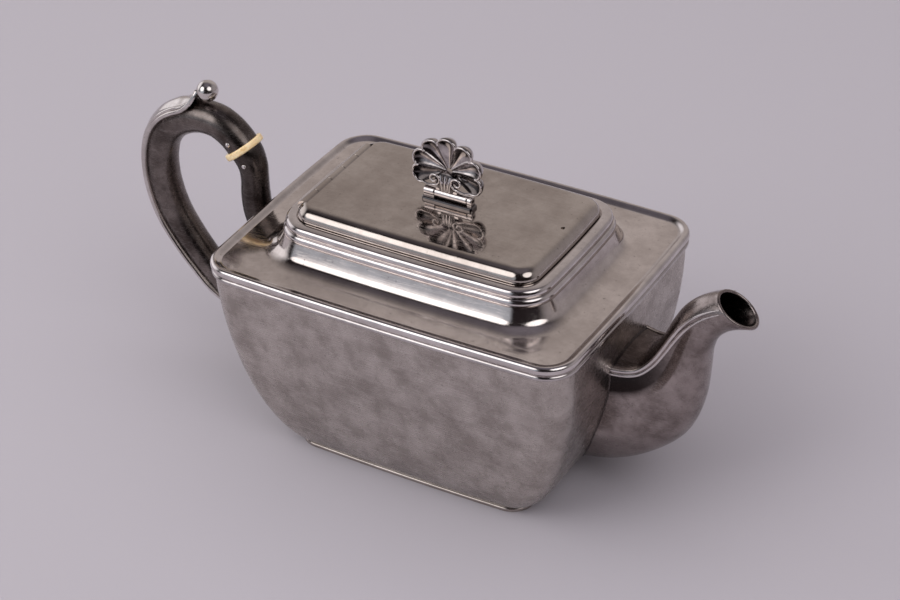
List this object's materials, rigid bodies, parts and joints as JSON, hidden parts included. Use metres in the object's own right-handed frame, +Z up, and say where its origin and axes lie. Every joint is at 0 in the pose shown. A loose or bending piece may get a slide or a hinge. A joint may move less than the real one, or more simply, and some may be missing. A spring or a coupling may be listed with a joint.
{
  "type": "teapot",
  "caption": "Oblong silver teapot with a swan-neck spout, scroll handle with insulating rings, and a flush hinged lid with a folding shell finial.",
  "frame": {"origin": "middle of the foot's flat underside", "axes": "+X from the handle to the spout, +Z up, +Y across the pot to the side away from the camera"},
  "size_m": [0.2606, 0.1092, 0.1252],
  "materials": {
    "silver": "worn polished silver",
    "handle_silver": "polished silver, darkened",
    "ivory": "polished cream insulator"
  },
  "bodies": {
    "body": {"body_wall": "silver", "base_plate": "silver", "foot_rim": "silver", "shoulder_plate": "silver", "rim_moulding": "silver", "collar_reeding": "silver", "spout_shell": "silver", "spout_reed_near": "silver", "spout_reed_far": "silver", "strainer_plate": "silver", "upper_handle_socket": "handle_silver", "lower_handle_socket": "handle_silver", "upper_insulator": "ivory", "lower_insulator": "ivory", "upper_socket_pin": "silver", "upper_grip_pin": "silver", "lower_socket_pin": "silver", "lower_grip_pin": "silver", "handle_grip": "handle_silver", "handle_strap": "silver", "thumb_piece": "silver", "body_hinge_knuckle_1": "silver", "body_hinge_knuckle_2": "silver", "body_hinge_knuckle_3": "silver", "lid_hinge_pin": "silver"},
    "lid": {"lid_panel": "silver", "lid_bezel": "silver", "lid_hinge_knuckle_1": "silver", "lid_hinge_knuckle_2": "silver", "finial_base": "silver", "finial_nut": "silver", "finial_pin": "silver"},
    "finial": {"finial_shell": "silver", "finial_knuckle": "silver"}
  },
  "joints": [
    {"name": "lid_hinge", "type": "hinge", "parent": "body", "child": "lid", "pos_m": [-0.0481, 0, 0.0966], "axis": [0, -1, 0], "range_deg": [0, 95]},
    {"name": "finial_fold", "type": "hinge", "parent": "lid", "child": "finial", "pos_m": [0, 0, 0.1025], "axis": [1, 0, 0], "range_deg": [0, 70]}
  ]
}
